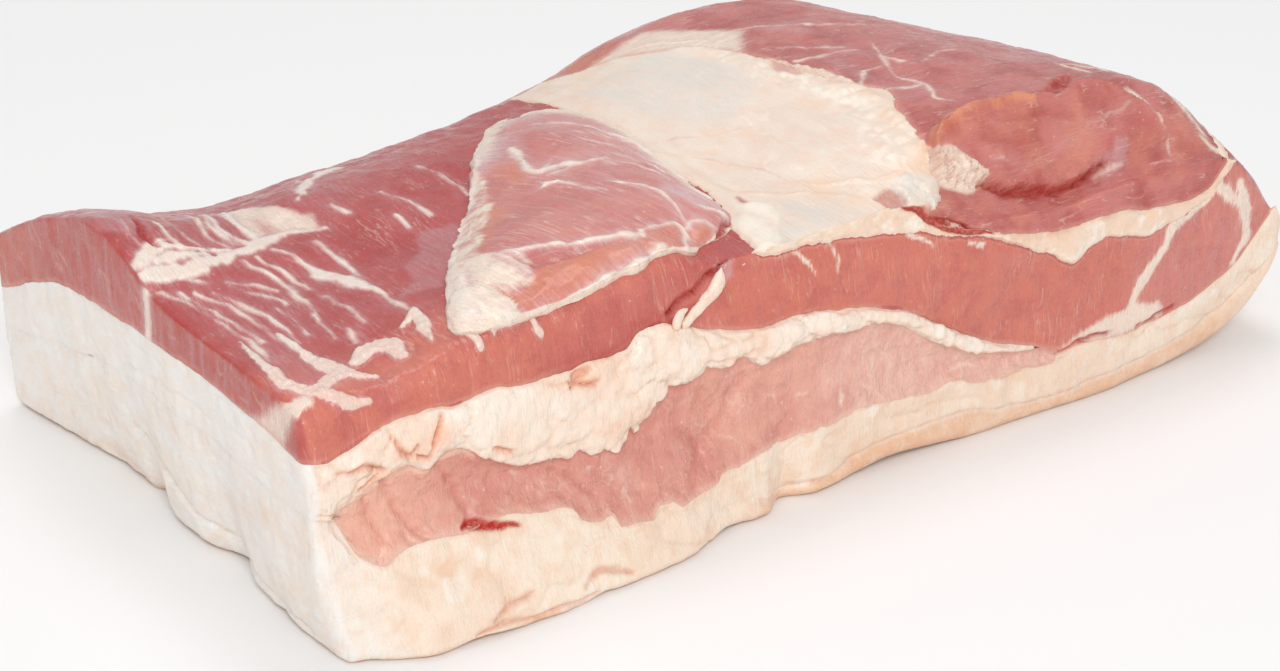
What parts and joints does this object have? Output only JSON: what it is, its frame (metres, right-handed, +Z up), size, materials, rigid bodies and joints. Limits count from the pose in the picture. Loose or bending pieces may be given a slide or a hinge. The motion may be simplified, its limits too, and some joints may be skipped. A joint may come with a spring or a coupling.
{
  "type": "pork belly slab",
  "caption": "Thick raw slab of layered pork belly on its rind, with two sawn faces that show the fat and the lean, a round muscle at one end and a loose flap on top.",
  "frame": {"origin": "bottom centre of the whole slab's box, on the flat rind that it rests on", "axes": "+X along the length from the sawn end to the rounded end, +Z up; the long sawn side looks to -Y"},
  "size_m": [0.3266, 0.1816, 0.0845],
  "materials": {
    "fat": "moist raw back fat, creamy with peach mottling, soft sheen; smooth tan rind underneath",
    "pale_lean": "moist pale pink lean cut across the grain, grainy with pale veins",
    "seam_fat": "moist lumpy cream fat",
    "lean": "moist rose red lean with fine fibres and white streaks of fat",
    "membrane": "wet cream membrane, faintly bluish where it is thin, with fine red vessels",
    "round_lean": "moist pink round muscle with pale branching lines and a folded cut edge",
    "flap_lean": "moist pink flap under a thin lilac film, with white sinew at its rim"
  },
  "bodies": {
    "root": {"back_fat": "fat", "lower_lean": "pale_lean", "seam_fat": "seam_fat", "upper_lean": "lean", "cap_fat": "membrane", "round_lean": "round_lean", "flap_lean": "flap_lean"}
  },
  "joints": []
}
